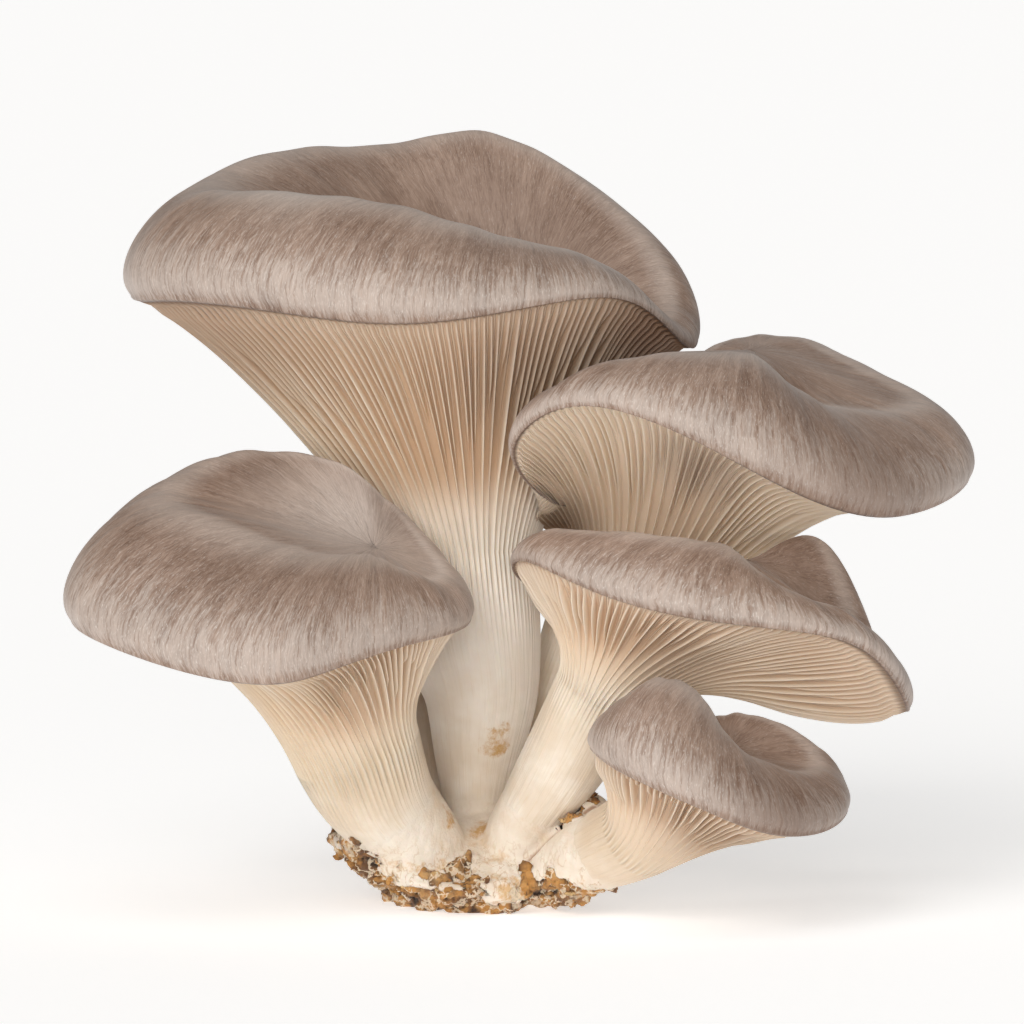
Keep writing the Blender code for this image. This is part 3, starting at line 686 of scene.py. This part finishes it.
def mushroom(name, spec, seed):
    """Stem, gills and cap as one closed body."""
    rng = np.random.default_rng(seed)
    gills = int(spec["gills"] * DENSER)
    lanes = len(GILL)
    body = Body()
    body.period = float(gills)
    place = np.array([g[0] for g in GILL])
    high = np.array([g[1:] for g in GILL])
    nudge = rng.uniform(-NUDGE, NUDGE, gills)
    phase = (np.arange(gills)[:, None] + place[None, :]).ravel()
    whole = np.arange(gills)[:, None] + np.zeros(lanes)[None, :]
    lean = np.interp(phase, np.arange(gills + 1), np.append(nudge, nudge[0]))
    angles = (phase + lean) * 2 * math.pi / gills
    tall = rng.uniform(LOWEST_GILL, 1.0, gills)
    long_height = np.interp(phase, np.arange(gills + 1), np.append(tall, tall[0]))
    starts = rng.uniform(*SHORT_FROM, gills)
    side = rng.choice((-1.0, 0.0, 1.0), gills, p=(0.3, 0.4, 0.3))
    cap = Cap(name, angles)
    mean = float(np.linalg.norm((cap.rim - cap.hollow)[:, :2], axis=1).mean())

    # stem
    last = len(spec["stem"]) - 1.0
    at, along = open_spline(spec["stem"], np.linspace(0, last, 200))
    path = np.append(0, np.cumsum(np.linalg.norm(np.diff(at[:, :3], axis=0), axis=1)))
    few, few_phase = angles[::STEM_STEP], phase[::STEM_STEP]
    few_high = np.tile(high[::STEM_STEP, 0], gills)
    foot, down = at[0, :3], -unit(along[0, :3])
    for k, t in enumerate(np.linspace(0.0, last, STEM_RINGS + 1)[:-1]):
        left = path[-1] - np.interp(t / last, np.linspace(0, 1, 200), path)
        decur = math.exp(-(left / RUNS_DOWN[name]) ** 1.5) * (1 - 3 * cap.bare)
        points = stem_ring(spec, t, few)
        away = unit(points - points.mean(0))
        points = points + away * (NECK_RIDGE * decur * few_high)[:, None]
        index = body.ring(points, few_phase, hair=hair(few, FIBRE_RADIUS, -left), down=left,
                          decur=decur, ridge=0.5)
        if k:
            body.join(index - 1, index, FLESH)
    body.pole(0, foot + 0.8 * down, True, FLESH)

    # gills
    before = None
    run = np.zeros(len(angles))
    for v in 1 - (1 - np.linspace(0.0, 1.0, GILL_RINGS)) ** 1.12:
        # a short gill leans towards the long gill beside it where it begins
        wander = LEAN * np.clip((0.98 - v) / 0.7, 0, 1) ** 1.3 * min(1.0, (v / 0.25) ** 2)
        local = phase - whole.ravel()
        shift = np.interp(local, (0, 0.5, 1), (0, 1, 0)) * np.repeat(side, lanes) * wander
        cap_v = Cap(name, (phase + lean + shift) * 2 * math.pi / gills) if wander > 0 else cap
        base, normal, share = cap_v.relief(min(v, 0.9999))
        grow = np.repeat(ease((v - starts) / 0.2), lanes)
        lanes_high = np.tile(high, (gills, 1))
        crest = lanes_high[:, 0] * long_height + SHORT_GILL * lanes_high[:, 1] * grow
        valley = 1 - np.clip(crest, 0, 1)
        depth = share[:, 0]
        low = NECK_RIDGE * lanes_high[:, 0] * np.clip(1 - depth / 0.3, 0, 1) * min(1.0, (1 - v) / 0.3)
        low = low * np.clip(1 - 4 * cap.bare * (1 - v / 0.5), 0, 1)
        points = base + normal * (depth * (GILL_HEIGHT * crest - GILL_SINK * valley) + low)[:, None]
        hem = np.clip(1 - abs(v - 0.955) / 0.045, 0, 1)
        points = points + cap.up * HEM_UP * hem - cap.out * HEM_IN * hem
        if before is not None:
            run = run + np.linalg.norm(base - before, axis=1)
        before = base
        index = body.ring(points, phase, hair=hair(angles, FIBRE_RADIUS, run), reach=v,
                          ridge=0.5 + (crest - 0.5) * np.clip(depth * 2.2, 0, 1),
                          decur=np.clip(1 - v / 0.22, 0, 1))
        body.join(index - 1, index, FLESH)

    # top, from the rolled margin to the hollow; its first ring doubles the gills' last, so that
    # skin and gills keep a crisp edge
    sparse, sparse_phase = angles[::TOP_STEP], phase[::TOP_STEP]
    crown = Cap(name, sparse)
    before, run = None, np.zeros(len(sparse))
    ripple = smooth_round(rng.normal(0, 1, (len(sparse), 1)), RIPPLE_WAVES) * RIPPLE_HEIGHT
    for s in 2.0 * np.linspace(0, 1, TOP_RINGS + 1)[:-1] ** 1.25:
        points = crown.top(s)
        keep = float(np.interp(s, *WAVES_LEFT))
        if keep < ALL_WAVES:
            points = smooth_round(points, keep)
        lip = np.clip(1 - abs(s - 0.035) / 0.035, 0, 1)
        points = points + crown.out * LIP_OUT * lip - crown.up * LIP_DOWN * lip
        points = points + crown.up * ripple * float(np.interp(s, *RIPPLE_SHARE))
        if before is not None:
            run = run + np.linalg.norm(points - before, axis=1)
        index = body.ring(points, sparse_phase, hair=hair(sparse, mean, run),
                          inner=hair(sparse, mean * 0.4, run), run=s)
        if before is not None:
            body.join(index - 1, index, SKIN)
        before = points
    bottom = crown.hollow.copy()
    bottom[2] = before[:, 2].mean() - 0.02
    body.pole(index, bottom, False, SKIN, run=2.0, hair=(0, 0, run.mean()), inner=(0, 0, run.mean()))
    return body


# -------------------- clump

# Where crumbs climb higher up the clump: x, y, how much higher, how wide
SOIL = ((-4.6, -13.0, 8.0, 2.4), (11.0, -12.0, 4.0, 4.2), (17.0, -8.5, 24.0, 4.6),
        (-11.0, -14.0, 1.5, 3.0))
VOXEL, SOFTENED = 0.45, 8         # millimetres, and rounds of smoothing, of the grown-together base
STEM_SKIN_TOP = 21.0              # height up to which the lowest stems belong to that base
CRUMBS = 120


def soil_level(x, y):
    """Height up to which crumbs cover the clump: a thin band in front, more at the left and behind."""
    left = np.clip((-13.5 - x) / 9, 0, 1)
    level = 4.0 + 8.5 * left * left * (3 - 2 * left) + 6.0 * np.clip((y - 3) / 8, 0, 1)
    level = level - 6.0 * np.clip((x - 12.5) / 4, 0, 1)
    for cx, cy, high, wide in SOIL:
        level = level + high * np.exp(-((x - cx) ** 2 + 0.4 * (y - cy) ** 2) / wide ** 2)
    return level


def rounds(ring_list, first, last):
    """Closed mesh data from rings of equal count with a point at each end."""
    n = len(ring_list[0])
    verts = np.vstack([np.asarray(first, float)[None, :]] + ring_list + [np.asarray(last, float)[None, :]])
    faces = [[0, 1 + (j + 1) % n, 1 + j] for j in range(n)]
    for k in range(len(ring_list) - 1):
        a, b = 1 + k * n, 1 + (k + 1) * n
        faces += [[a + j, a + (j + 1) % n, b + (j + 1) % n, b + j] for j in range(n)]
    a, end = 1 + (len(ring_list) - 1) * n, len(verts) - 1
    faces += [[a + j, a + (j + 1) % n, end] for j in range(n)]
    return verts, faces


# Height along a stem, and how far the grown-together skin stands out from the stem there
FILLET = ((3.0, 7.0, 11.0, 15.0, 19.0, 21.0), (2.0, 1.5, 0.9, 0.35, -0.15, -1.2))
WEDGE = ((17.2, -9.2, 13.6), (4.4, 4.2, 6.6))     # middle and half sizes of a lump between two stems


def base_mesh():
    """Clump and the lowest stems grown together, with a soft fillet where they meet."""
    ring = np.arange(64) * math.pi / 32
    x, y = np.cos(ring), np.sin(ring)
    rings = []
    for t in np.linspace(0.0, len(CLUMP) - 1.0, 30):
        z, cx, cy, rx, ry = open_spline(CLUMP, np.array([t]))[0][0]
        lump = (np.sin(3 * x + 2 * y + 0.35 * z) + 0.7 * np.cos(5 * y - 4 * x + 0.5 * z)
                + 0.5 * np.sin(8 * x - 7 * y + 0.9 * z))
        swell = CLUMP_LUMP * lump * min(1.0, z / 2.0)
        ring_at = np.stack([cx + (rx + swell) * x, cy + (ry + swell) * y, z + 0.45 * swell], 1)
        front = np.clip((-1 - ring_at[:, 1]) / 14, 0, 1) * np.clip((ring_at[:, 0] + 24) / 8, 0, 1)
        ring_at[:, 2] *= 1 - 0.5 * front
        rings.append(ring_at)
    parts = [rounds(rings, (CLUMP[0][1], CLUMP[0][2], 0.0), rings[-1].mean(0) + np.array([0, 0, 0.4]))]
    round32 = np.arange(32) * math.pi / 16
    for spec in MUSHROOMS.values():
        last = len(spec["stem"]) - 1.0
        rings = []
        for t in np.arange(0.0, last, 0.2):
            z = stem_ring(spec, t, round32)[:, 2].mean()
            if z > STEM_SKIN_TOP or t > 0.88 * last:
                break
            swell = min(np.interp(z, *FILLET), np.interp(t / last, (0.3, 0.7, 0.88), (2.0, -0.1, -1.2)))
            rings.append(stem_ring(spec, t, round32, float(swell)))
        parts.append(rounds(rings, rings[0].mean(0), rings[-1].mean(0)))
    turns = np.linspace(0.2, math.pi - 0.2, 12)
    middle, half = np.array(WEDGE[0]), np.array(WEDGE[1])
    rings = [middle + half * np.stack([math.sin(a) * np.cos(round32), math.sin(a) * np.sin(round32),
                                       -math.cos(a) + 0 * round32], 1) for a in turns]
    parts.append(rounds(rings, middle - (0, 0, half[2]), middle + (0, 0, half[2])))
    verts, faces, start = [], [], 0
    for v, f in parts:
        verts.append(v)
        faces += [[i + start for i in c] for c in f]
        start += len(v)
    mesh = bpy.data.meshes.new("base_rough")
    mesh.from_pydata((np.vstack(verts) * MM).tolist(), [], faces)
    rough = link(bpy.data.objects.new("base_rough", mesh))
    voxel = rough.modifiers.new("voxel", "REMESH")
    voxel.mode = "VOXEL"
    voxel.voxel_size = VOXEL * MM
    soft = rough.modifiers.new("soft", "SMOOTH")
    soft.factor, soft.iterations = 0.5, SOFTENED
    graph = bpy.context.evaluated_depsgraph_get()
    mesh = bpy.data.meshes.new_from_object(rough.evaluated_get(graph))
    bpy.data.objects.remove(rough, do_unlink=True)
    return mesh


def fractal(p, scale, seed, octaves=3):
    """Noise at points in millimetres, with lumps about `scale` wide."""
    return np.array([noise.fractal(Vector(q) / scale + Vector((seed, seed, seed)), 0.9, 2.1, octaves)
                     for q in p.tolist()])


def nearest_two(at):
    """Distances from points to the surfaces of the nearest and the next nearest stem."""
    gaps = []
    for spec in MUSHROOMS.values():
        path = open_spline(spec["stem"], np.linspace(0, len(spec["stem"]) - 1.0, 60))[0]
        far = np.linalg.norm(at[:, None, :] - path[None, :, :3], axis=2) - path[None, :, 3]
        gaps.append(far.min(1))
    gaps = np.sort(np.array(gaps), axis=0)
    return gaps[0], gaps[1]


def base_piece():
    """Clump with its crumbs, pits and folds, and where crumbs may grow on it."""
    mesh = base_mesh()
    n = len(mesh.vertices)
    at, normal = np.zeros(3 * n, np.float32), np.zeros(3 * n, np.float32)
    mesh.vertices.foreach_get("co", at)
    mesh.vertices.foreach_get("normal", normal)
    at, normal = at.reshape(-1, 3) / MM, normal.reshape(-1, 3)
    coarse, mid, small = fractal(at, 4.2, 3.1), fractal(at, 1.8, 7.7), fractal(at, 0.8, 1.3, 2)
    near, next_near = nearest_two(at)
    above = soil_level(at[:, 0], at[:, 1]) - at[:, 2] + 4.6 * coarse + 1.6 * mid
    crumb = ease(above / 1.2 + 0.5)
    pits = np.clip(-mid - 0.1, 0, 1)
    height = crumb * (1.5 * coarse + 0.9 * mid - 1.2 * pits + 0.45 * small) + (1 - crumb) * 0.06 * small
    crease = np.exp(-((next_near - near) / 0.9) ** 2) * np.clip(2.4 - near, 0, 1)
    crease = crease * (1 - crumb) * np.clip((at[:, 2] - 5) / 4, 0, 1)
    fade = np.clip((20 - at[:, 2]) / 3, 0, 1)
    fold = fractal(at * np.array([1.0, 1.0, 0.35]), 2.4, 5.2, 2)
    height = height + (1 - crumb) * 0.4 * fold * np.clip((15 - at[:, 2]) / 8, 0, 1) - 0.8 * crease
    moved = at + normal * (height * fade)[:, None]
    moved[:, 2] = np.where(at[:, 2] < 0.25, np.maximum(at[:, 2], 0.0), np.maximum(moved[:, 2], 0.02))
    moved[:, 2] = np.where(moved[:, 2] < 0.3, 0.0, moved[:, 2])
    rim = np.clip((np.hypot(at[:, 0] + 1.5, at[:, 1] - 1.5) - 8.5) / 4.5, 0, 1)
    lifted = rim * 3.2 * np.clip(fractal(at * np.array([1.0, 1.0, 0.0]), 5.5, 9.4, 2) + 0.12, 0, 0.6)
    moved[:, 2] = moved[:, 2] + lifted * np.clip((6 - moved[:, 2]) / 6, 0, 1)
    mesh.vertices.foreach_set("co", (moved * MM).astype(np.float32).ravel())
    for key, value in (("crumb", crumb), ("cavity", np.clip(0.45 - 0.9 * mid - 0.5 * coarse, 0, 1)),
                       ("crease", crease), ("tall", at[:, 2])):
        mesh.attributes.new(key, "FLOAT", "POINT").data.foreach_set("value", value.astype(np.float32))
    mesh.polygons.foreach_set("use_smooth", [True] * len(mesh.polygons))
    mesh.update()
    mesh.materials.clear()
    return link(bpy.data.objects.new("clump_fine", mesh)), moved, normal, crumb


def crumbs_piece(at, normal, crumb):
    """Loose bits of straw and bran that stick out of the clump."""
    rng = np.random.default_rng(5)
    ok = np.where((crumb > 0.6) & (at[:, 2] > 1.2) & (normal[:, 2] > -0.75))[0]
    bm = bmesh.new()
    bmesh.ops.create_icosphere(bm, subdivisions=2, radius=1.0)
    bm.verts.ensure_lookup_table()
    ball = np.array([v.co[:] for v in bm.verts])
    tris = np.array([[v.index for v in f.verts] for f in bm.faces])
    bm.free()
    verts, faces, tone = [], [], []
    for k, i in enumerate(rng.choice(ok, CRUMBS, replace=False)):
        size = rng.uniform(0.35, 1.2) * np.array([1.0, rng.uniform(0.4, 0.9), rng.uniform(0.25, 0.6)])
        lump = np.array([noise.noise(Vector(q) * 1.9 + Vector((k * 3.7, 0, 0))) for q in ball.tolist()])
        a, b, _ = rng.uniform(0, 2 * math.pi, 3)
        turn = np.array([[math.cos(a), -math.sin(a), 0], [math.sin(a), math.cos(a), 0], [0, 0, 1]])
        tilt = np.array([[1, 0, 0], [0, math.cos(b), -math.sin(b)], [0, math.sin(b), math.cos(b)]])
        p = (ball * (1 + 0.8 * lump[:, None]) * size) @ turn.T @ tilt.T
        p = p + at[i] + normal[i] * size.min() * 0.25
        p[:, 2] = np.maximum(p[:, 2], 0.15)
        verts.append(p)
        faces.append(tris + k * len(ball))
        tone.append(np.full(len(ball), rng.uniform(0, 1)))
    mesh = bpy.data.meshes.new("crumbs")
    mesh.from_pydata((np.vstack(verts) * MM).tolist(), [], np.vstack(faces).tolist())
    tone = np.hstack(tone).astype(np.float32)
    mesh.attributes.new("tone", "FLOAT", "POINT").data.foreach_set("value", tone)
    mesh.polygons.foreach_set("use_smooth", [True] * len(mesh.polygons))
    mesh.update()
    return link(bpy.data.objects.new("crumbs", mesh))


def soil_colour(s, place, tone):
    """Brown to straw-coloured substrate, and the grit that its bump uses."""
    grit = s.noise(place, 700.0, 4.0, 0.65)
    patch = s.noise(place, 260.0, 3.0, 0.6)
    colour = s.mix(s.span(patch, 0.36, 0.6), rgb(104, 70, 42), rgb(190, 138, 74))
    colour = s.mix(s.span(tone, 0.5, 0.95), colour, rgb(206, 172, 122))
    colour = s.mix(s.span(grit, 0.47, 0.32, 0.0, 0.8), colour, rgb(56, 35, 21))
    return colour, grit


def base_material():
    """White mycelium that gives way to substrate, with strands across it, and painted shade in its creases
    and pits.
    """
    s = Shader("clump_mycelium")
    place = s.node("NewGeometry", out="Position")
    crumb, cavity, crease = s.number("crumb"), s.number("cavity"), s.number("crease")
    tall = s.number("tall")
    fuzz = s.noise(place, 1300.0, 4.0, 0.65)
    cloud = s.noise(place, 110.0, 4.0, 0.6)
    white = s.mix(s.span(cloud, 0.35, 0.7), FLESH_DULL, FLESH_PALE)
    low = s.span(tall, 14.0, 5.0)
    stain = s.span(s.noise(place, 170.0, 5.0, 0.7), 0.54, 0.66)
    stain = s.math("MULTIPLY", stain, s.math("MULTIPLY_ADD", low, 0.6, 0.15))
    white = s.mix(stain, white, rgb(205, 160, 92))
    wrinkle = s.noise(s.scaled(place, 1.0, 1.0, 0.45), 420.0, 3.0, 0.6)
    line = s.math("ABSOLUTE", s.math("SUBTRACT", wrinkle, 0.5))
    line = s.math("MULTIPLY", s.span(line, 0.03, 0.0), s.math("MULTIPLY_ADD", low, 0.5, 0.1))
    white = s.mix(line, white, rgb(186, 148, 104))
    # Painted shade: darker brown in the creases between grown-together stems
    white = s.mix(s.span(crease, 0.35, 0.95, 0.0, 0.75), white, rgb(150, 100, 62))
    white = stained(s, place, white)
    soil, grit = soil_colour(s, place, s.noise(place, 330.0, 2.0))
    # Painted shade: near-black in the pits of the substrate
    soil = s.mix(s.span(cavity, 0.5, 0.9, 0.0, 0.92), soil, rgb(34, 20, 12))
    strand = s.math("ABSOLUTE", s.math("SUBTRACT", s.noise(place, 210.0, 4.0, 0.6), 0.5))
    web = s.span(s.noise(place, 190.0, 4.0, 0.6), 0.56, 0.64)
    strand = s.math("MAXIMUM", s.span(strand, 0.035, 0.012), web)
    soil = s.mix(s.math("MULTIPLY", strand, 0.85), soil, rgb(228, 210, 184))
    share = s.span(s.math("MULTIPLY_ADD", s.noise(place, 420.0, 4.0, 0.65), 0.8, crumb), 0.75, 1.0)
    colour = s.mix(share, white, soil)
    bump = s.bump(fuzz, 0.16)
    bump = s.bump(wrinkle, 0.25, bump)
    bump = s.bump(s.math("MULTIPLY", grit, share), 0.5, bump)
    s.set(Base_Color=colour, Normal=bump, Roughness=s.math("MULTIPLY_ADD", fuzz, 0.25, 0.6))
    for key, value in (("Subsurface Weight", 0.1), ("Subsurface Scale", 0.0015), ("Sheen Weight", 0.1)):
        s.main.inputs[key].default_value = value
    return s.mat


def crumb_material():
    s = Shader("clump_crumbs")
    place = s.node("NewGeometry", out="Position")
    colour, grit = soil_colour(s, place, s.number("tone"))
    s.set(Base_Color=colour, Normal=s.bump(grit, 0.4), Roughness=0.8)
    return s.mat


# -------------------- build

# Spots on single mushrooms: x, y, z, reach in millimetres and strength. The first table is painted shade
# on the underside and stems, the next two are painted shade and painted light on the cap
FLESH_PAINTED_SHADE = {
    "mushroom_top": ((30.0, 2.0, 97.0, 24.0, 0.8), (-50.0, 0.0, 92.0, 34.0, 0.5),
                     (8.0, -12.0, 92.0, 20.0, 0.4)),
    "mushroom_upper_right": ((12.0, 10.0, 66.0, 15.0, 0.9), (34.0, -17.0, 74.0, 14.0, 0.4)),
    "mushroom_middle_right": ((31.0, -22.0, 45.0, 14.0, 0.35),),
    "mushroom_back": ((-20.0, 15.0, 32.0, 20.0, 0.7),),
    "mushroom_lower_right": ((45.0, -30.0, 20.0, 18.0, 0.45), (36.0, -34.0, 13.0, 16.0, 0.3)),
}
CAP_PAINTED_SHADE = {
    "mushroom_upper_right": ((64.0, -22.0, 72.0, 30.0, 0.55),),
    "mushroom_lower_right": ((50.0, -46.0, 18.0, 22.0, 0.6),),
}
CAP_PAINTED_LIGHT = {
    "mushroom_left": ((-27.0, -12.0, 64.0, 24.0, 0.5), (-8.0, -14.0, 57.0, 14.0, 0.3)),
    "mushroom_top": ((-32.0, 2.0, 119.0, 18.0, 0.5), (18.0, 4.0, 111.0, 14.0, 0.45)),
}
# Painted light and shade on the upper stems: share of a colour in a stem, and how far below the gills it
# has faded
STEM_PAINTED_LIGHT_SHADE = {
    "mushroom_top": (0.5, 38.0, rgb(253, 247, 240)),
    "mushroom_left": (0.28, 14.0, rgb(205, 175, 140)),
    "mushroom_lower_right": (0.3, 12.0, rgb(190, 155, 120)),
}
# Share of pale flesh in the gills, as painted light
GILL_PAINTED_LIGHT = {"mushroom_top": 0.15, "mushroom_upper_right": 0.75, "mushroom_middle_right": 0.25,
              "mushroom_lower_right": 0.3, "mushroom_left": 0.4}
for seed, (name, spec) in enumerate(MUSHROOMS.items()):
    flesh = flesh_material(name + "_flesh", FLESH_PAINTED_SHADE.get(name, ()), GILL_PAINTED_LIGHT.get(name, 0.0),
                           STEM_PAINTED_LIGHT_SHADE.get(name))
    skin = cap_material(name + "_skin", CAP_PAINTED_SHADE.get(name, ()), CAP_PAINTED_LIGHT.get(name, ()))
    piece = mushroom(name, spec, 40 + seed).build(name + "_fine", (flesh, skin))
    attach(piece, "root")
    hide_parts(name)

clump, at, normal, crumb = base_piece()
clump.data.materials.append(base_material())
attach(clump, "root")
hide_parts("clump")
bits = crumbs_piece(at, normal, crumb)
bits.data.materials.append(crumb_material())
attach(bits, "root")
